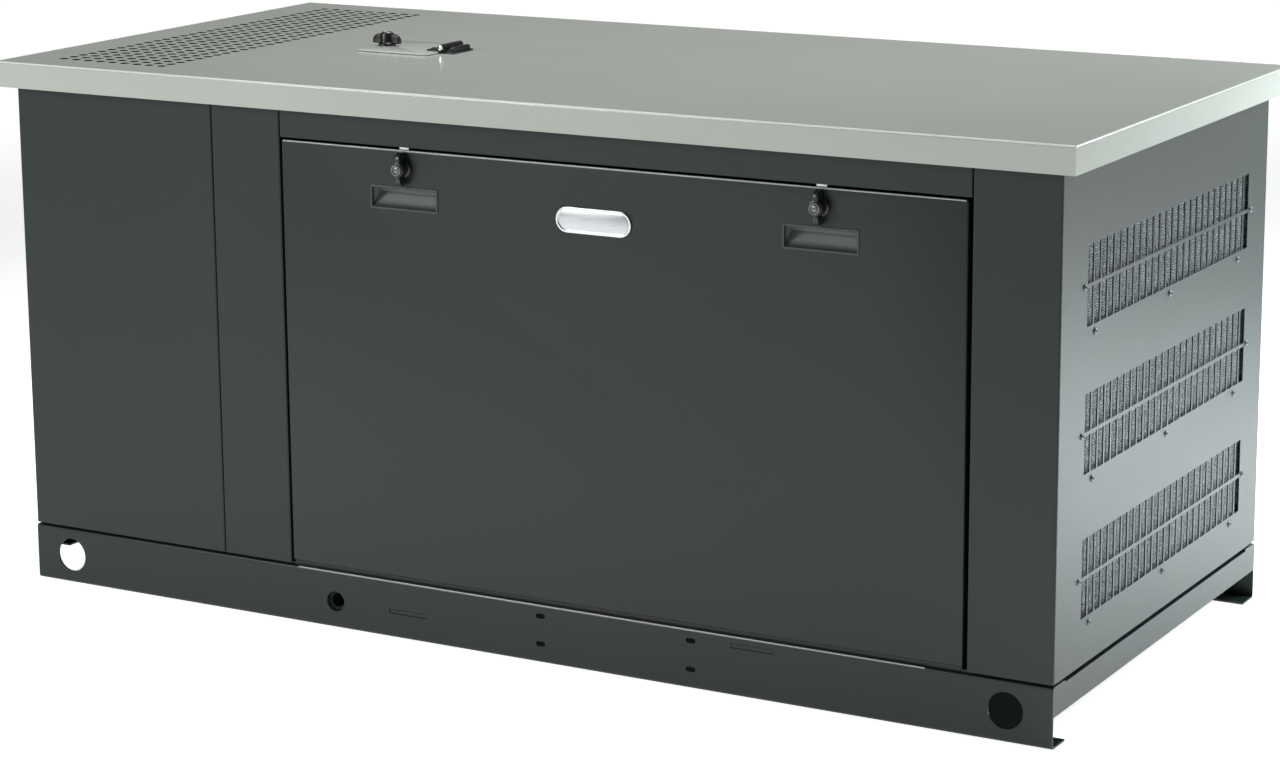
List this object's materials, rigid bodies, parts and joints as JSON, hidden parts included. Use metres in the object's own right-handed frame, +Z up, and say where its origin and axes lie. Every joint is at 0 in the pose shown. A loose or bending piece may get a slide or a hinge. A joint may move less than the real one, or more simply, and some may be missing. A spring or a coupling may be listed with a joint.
{
  "type": "home standby generator",
  "caption": "Sheet-metal enclosure on a folded base frame, holding an engine, radiator and alternator behind a lift-out service door with wing locks.",
  "frame": {"origin": "centre of the base footprint, on the ground plane", "axes": "+X along the length towards the air intake end, -Y towards the service door, +Z up"},
  "size_m": [1.934, 0.914, 0.9218],
  "materials": {
    "body_paint": "satin dark green-grey powder coat",
    "roof_paint": "satin warm grey powder coat",
    "black_hardware": "satin black die-cast",
    "lock_steel": "bright plated",
    "zinc_fastener": "zinc plated",
    "dark_screw": "dark plated",
    "screen_wire": "woven wire",
    "badge_metal": "brushed",
    "rubber": "matt",
    "radiator_fins": "fin block",
    "black_plastic": "moulded",
    "cap_steel": "pressed",
    "machined_steel": "machined",
    "cast_block": "painted casting",
    "cast_head": "raw casting",
    "cover_paint": "satin black",
    "hot_iron": "heat browned",
    "muffler_steel": "aluminised sheet",
    "rotor_iron": "varnished laminations",
    "alternator_paint": "satin",
    "gas_iron": "black malleable",
    "control_paint": "fine texture",
    "green_plastic": "moulded",
    "red_plastic": "moulded",
    "breaker_plastic": "moulded",
    "battery_plastic": "moulded"
  },
  "bodies": {
    "enclosure": {"front_base_rail": "body_paint", "rear_base_rail": "body_paint", "end_cross_beams": "body_paint", "engine_cross_member": "body_paint", "alternator_cross_member": "body_paint", "floor_pan": "body_paint", "front_left_panel": "body_paint", "front_left_post": "body_paint", "front_header": "body_paint", "front_right_post": "body_paint", "left_end_panel": "body_paint", "right_end_panel": "body_paint", "rear_corner_panels": "body_paint", "rear_access_panel": "body_paint", "intake_screens": "screen_wire", "panel_screws": "dark_screw", "strike_tabs": "zinc_fastener", "door_seal": "rubber", "roof_panel": "roof_paint", "hatch_hinge": "black_hardware", "radiator_bulkhead": "body_paint", "radiator_core": "radiator_fins", "radiator_tanks": "black_plastic", "fan_shroud": "black_plastic", "drive_belt": "rubber", "coolant_hoses": "rubber", "engine_block": "cast_block", "oil_pan": "cover_paint", "cylinder_head": "cast_head", "valve_cover": "cover_paint", "air_cleaner": "black_plastic", "exhaust_manifold": "hot_iron", "muffler": "muffler_steel", "flywheel_housing": "cast_block", "alternator": "alternator_paint", "vibration_mounts": "rubber", "fuel_regulator": "gas_iron", "control_box": "control_paint", "main_breaker": "breaker_plastic", "battery": "battery_plastic"},
    "front_door": {"front_door": "body_paint", "door_grips": "body_paint", "badge_plate": "badge_metal"},
    "left_lock": {"left_wing_lock": "black_hardware", "left_lock_core": "lock_steel"},
    "right_lock": {"right_wing_lock": "black_hardware", "right_lock_core": "lock_steel"},
    "roof_hatch": {"roof_hatch": "roof_paint", "hatch_hinge_leaf": "black_hardware"},
    "hatch_lock": {"hatch_wing_lock": "black_hardware", "hatch_lock_core": "lock_steel"},
    "radiator_cap": {"radiator_cap": "cap_steel"},
    "fan": {"cooling_fan": "black_plastic", "fan_pulley": "machined_steel"},
    "crankshaft": {"crank_pulley": "machined_steel", "crankshaft": "machined_steel", "alternator_rotor": "rotor_iron"},
    "start_button": {"start_button": "green_plastic"},
    "stop_button": {"stop_button": "red_plastic"},
    "breaker_lever": {"breaker_lever": "breaker_plastic"}
  },
  "joints": [
    {"name": "door_tilt", "type": "hinge", "parent": "enclosure", "child": "front_door", "pos_m": [0, -0.431, 0.1075], "axis": [1, 0, 0], "range_deg": [0, 35]},
    {"name": "left_lock_turn", "type": "hinge", "parent": "front_door", "child": "left_lock", "pos_m": [-0.1695, -0.434, 0.774], "axis": [0, -1, 0], "range_deg": [0, 90]},
    {"name": "right_lock_turn", "type": "hinge", "parent": "front_door", "child": "right_lock", "pos_m": [0.56, -0.434, 0.774], "axis": [0, -1, 0], "range_deg": [0, 90]},
    {"name": "hatch_swing", "type": "hinge", "parent": "enclosure", "child": "roof_hatch", "pos_m": [-0.348, -0.014, 0.906], "axis": [0, 1, 0], "range_deg": [0, 100]},
    {"name": "hatch_lock_turn", "type": "hinge", "parent": "roof_hatch", "child": "hatch_lock", "pos_m": [-0.477, -0.013, 0.8998], "axis": [0, 0, -1], "range_deg": [0, 90]},
    {"name": "radiator_cap_turn", "type": "hinge", "parent": "enclosure", "child": "radiator_cap", "pos_m": [-0.472, 0, 0.79], "axis": [0, 0, 1], "range_deg": [0, 90]},
    {"name": "crank_spin", "type": "hinge", "parent": "enclosure", "child": "crankshaft", "pos_m": [0, 0, 0.3], "axis": [1, 0, 0], "continuous": true},
    {"name": "fan_spin", "type": "hinge", "parent": "enclosure", "child": "fan", "pos_m": [-0.4, 0, 0.47], "axis": [1, 0, 0], "continuous": true},
    {"name": "start_press", "type": "slide", "parent": "enclosure", "child": "start_button", "axis": [0, 1, 0], "range_m": [0, 0.003], "stiffness_N_per_m": 600},
    {"name": "stop_press", "type": "slide", "parent": "enclosure", "child": "stop_button", "axis": [0, 1, 0], "range_m": [0, 0.005], "stiffness_N_per_m": 600},
    {"name": "breaker_toggle", "type": "hinge", "parent": "enclosure", "child": "breaker_lever", "pos_m": [0.7, -0.373, 0.662], "axis": [1, 0, 0], "range_deg": [0, 56]}
  ],
  "couplings": [
    {"joint": "fan_spin", "follows": "crank_spin", "ratio": 1.367}
  ]
}
